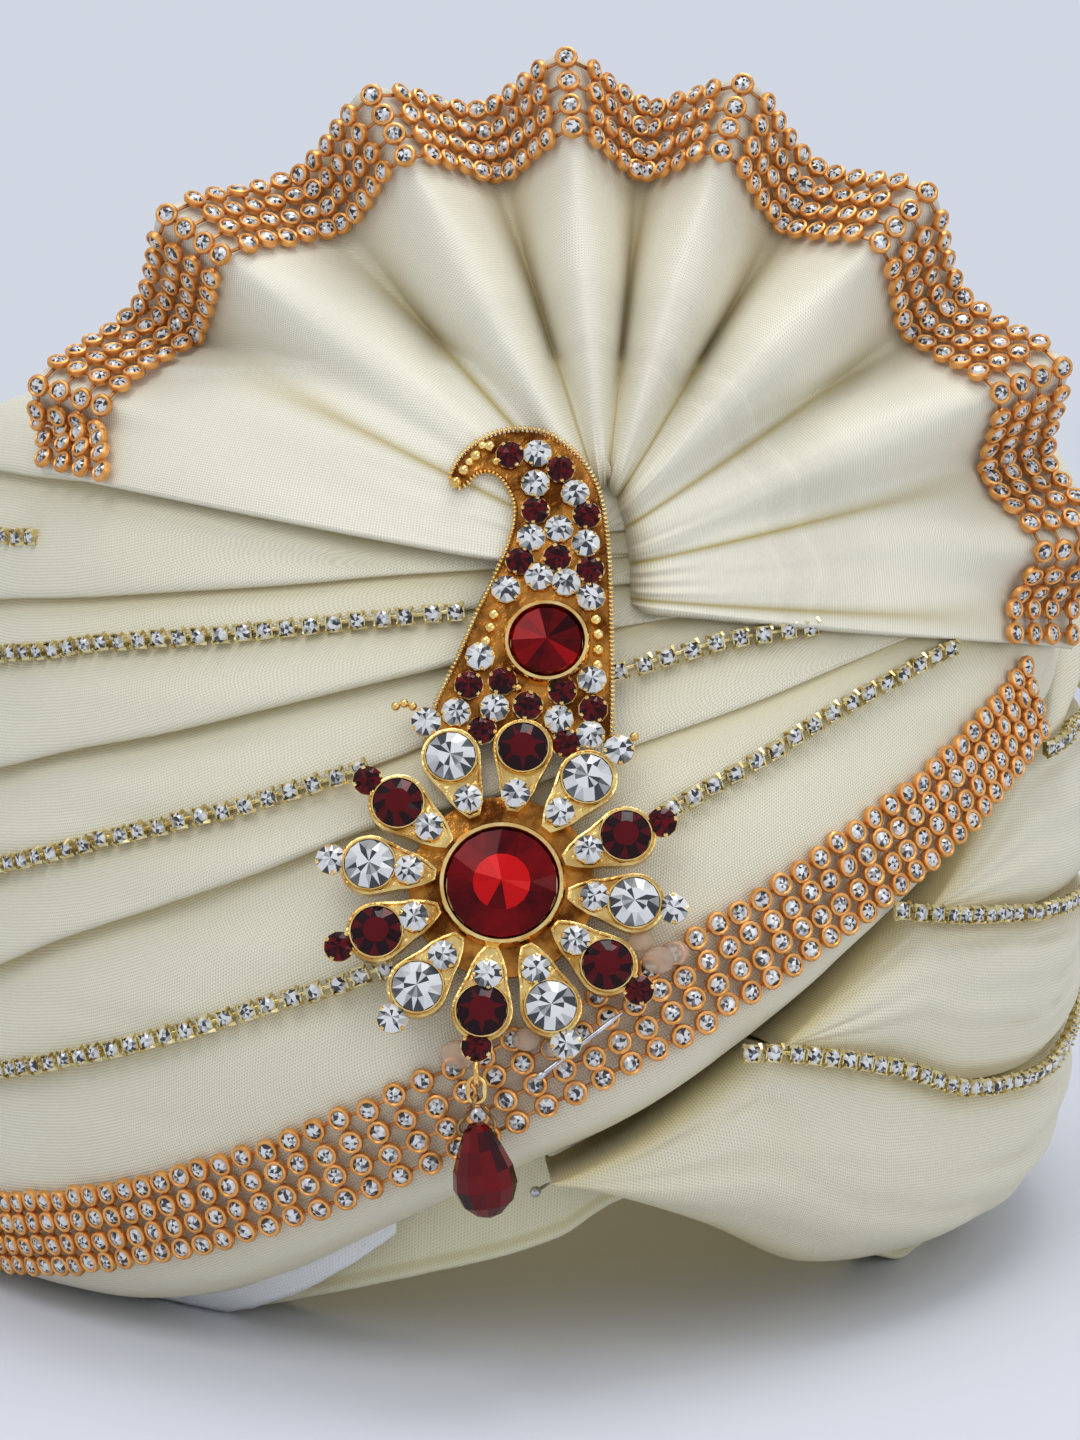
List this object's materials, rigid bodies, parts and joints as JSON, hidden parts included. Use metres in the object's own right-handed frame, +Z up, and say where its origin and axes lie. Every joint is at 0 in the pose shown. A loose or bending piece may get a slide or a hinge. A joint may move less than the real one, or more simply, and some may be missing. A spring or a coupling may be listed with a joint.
{
  "type": "tied turban",
  "caption": "Ready-tied cream turban with a pleated fan crest, bead-edged swath, crystal chains in the folds and a jewelled paisley brooch with a hanging drop.",
  "frame": {"origin": "middle of the turban's bounding box, on the table it rests on", "axes": "+Z up, the fan and the brooch face -Y, +X is the wearer's left"},
  "size_m": [0.2454, 0.2768, 0.2238],
  "materials": {
    "cloth": "plain woven silk, soft sheen",
    "satin": "plain woven silk pulled tight, brighter sheen",
    "lining": "matt lining cloth over a stiff form",
    "interlining": "matt white felted interlining",
    "copper_beads": "copper-gold cups, each with a clear stone",
    "pale_gold": "pale gold cups, each with a clear stone",
    "gold": "bright gold plating",
    "red_glass": "dark red cut glass with a foiled back",
    "clear_glass": "clear cut glass with a foiled back",
    "bronze": "darkened gold wire",
    "steel": "polished pin wire"
  },
  "bodies": {
    "turban": {"cap": "lining", "inner_band": "lining", "front_swath": "cloth", "roll_bottom": "cloth", "roll_lower": "cloth", "roll_upper": "cloth", "roll_top": "cloth", "crown_top": "cloth", "interlining_edge": "interlining", "fan_crest": "satin", "fan_trim": "copper_beads", "front_trim": "copper_beads", "chain_top_left": "pale_gold", "chain_first_left": "pale_gold", "chain_second_left": "pale_gold", "chain_second_right": "pale_gold", "chain_third_left": "pale_gold", "chain_third_right": "pale_gold", "chain_groove_first": "pale_gold", "chain_groove_second": "pale_gold", "chain_groove_third": "pale_gold", "brooch_setting": "gold", "centre_stone": "red_glass", "paisley_stone": "red_glass", "petal_stone_01": "red_glass", "petal_stone_02": "clear_glass", "petal_stone_03": "red_glass", "petal_stone_04": "clear_glass", "petal_stone_05": "red_glass", "petal_stone_06": "clear_glass", "petal_stone_07": "red_glass", "petal_stone_08": "clear_glass", "petal_stone_09": "red_glass", "petal_stone_10": "clear_glass", "petal_stone_11": "red_glass", "petal_stone_12": "clear_glass", "brooch_pin": "steel", "dress_pin": "steel"},
    "link": {"drop_link": "gold"},
    "drop": {"drop_bail": "bronze", "drop_bead": "red_glass"}
  },
  "joints": [
    {"name": "link_swing", "type": "hinge", "parent": "turban", "child": "link", "pos_m": [-0.00116, -0.13321, 0.05353], "axis": [0, 1, 0], "range_deg": [-38, 38]},
    {"name": "drop_swing", "type": "hinge", "parent": "link", "child": "drop", "pos_m": [-0.00116, -0.13321, 0.05065], "axis": [-1, 0, 0], "range_deg": [0, 70]}
  ]
}
